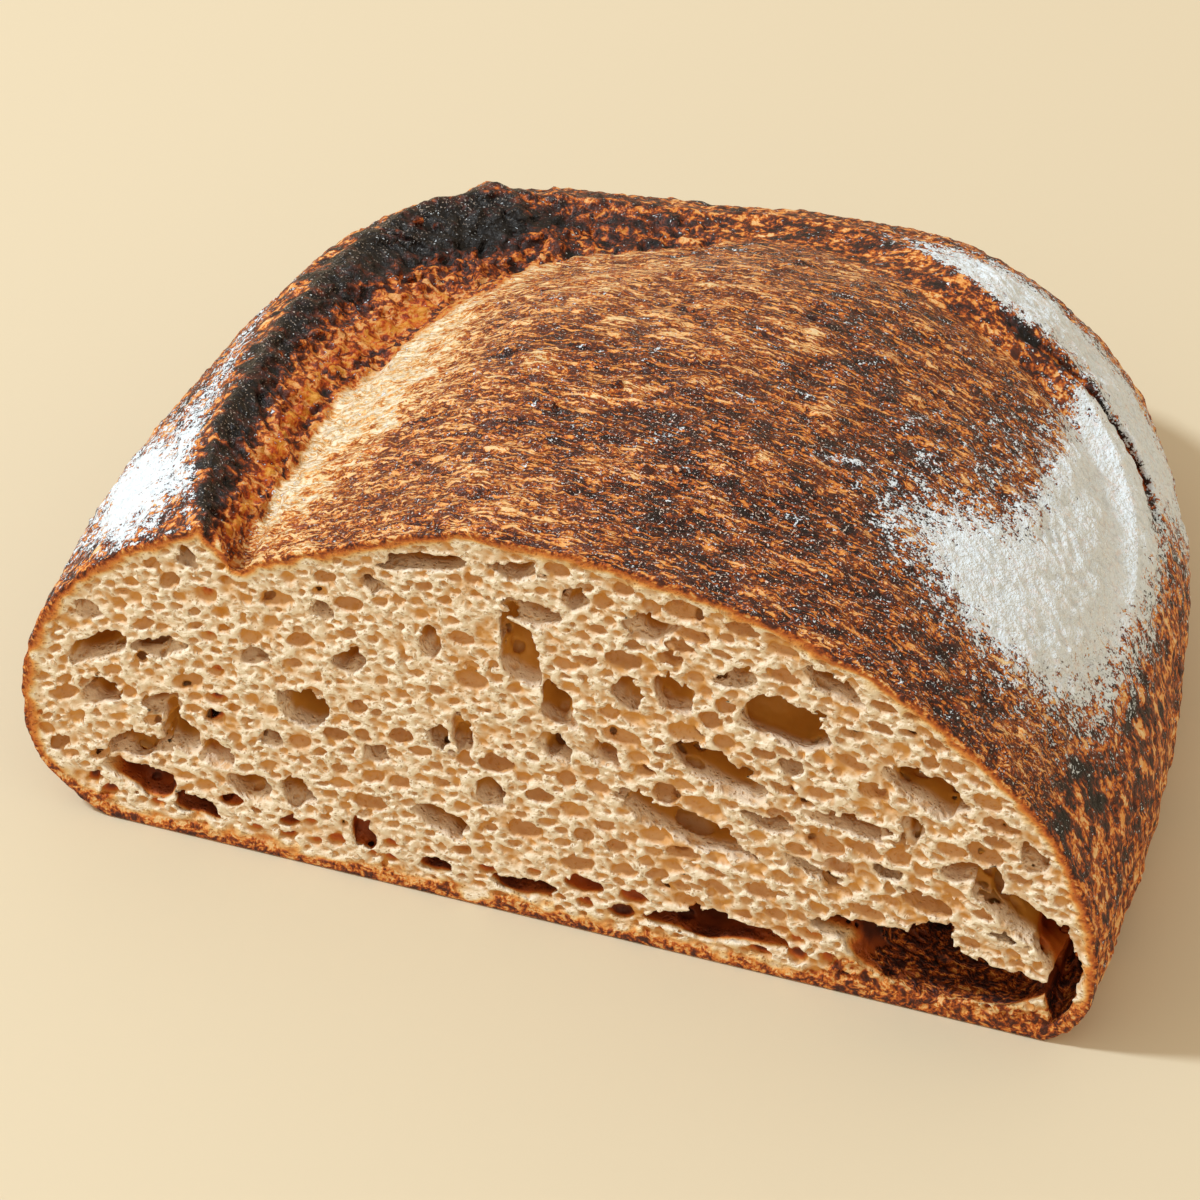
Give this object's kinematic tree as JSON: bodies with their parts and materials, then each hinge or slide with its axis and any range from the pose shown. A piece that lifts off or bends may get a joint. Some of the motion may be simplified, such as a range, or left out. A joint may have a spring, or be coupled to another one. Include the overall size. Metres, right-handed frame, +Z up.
{
  "type": "half sourdough loaf",
  "caption": "Half of an oval sourdough loaf, cut across the middle: dark domed crust with a raised ear along the slash, flour patches, and a flat cut face of open crumb.",
  "frame": {"origin": "on the flat base, half-way along the width and half-way between the cut face and the far end", "axes": "+X to the right along the cut face, +Y from the cut face into the loaf, +Z up from the base"},
  "size_m": [0.1843, 0.1514, 0.085],
  "materials": {
    "crust": "baked crust, golden brown to nearly black, satin, with patches of matt white flour",
    "crumb": "open cream crumb with glossy bubble walls"
  },
  "bodies": {
    "root": {"loaf": "crust"}
  },
  "joints": []
}
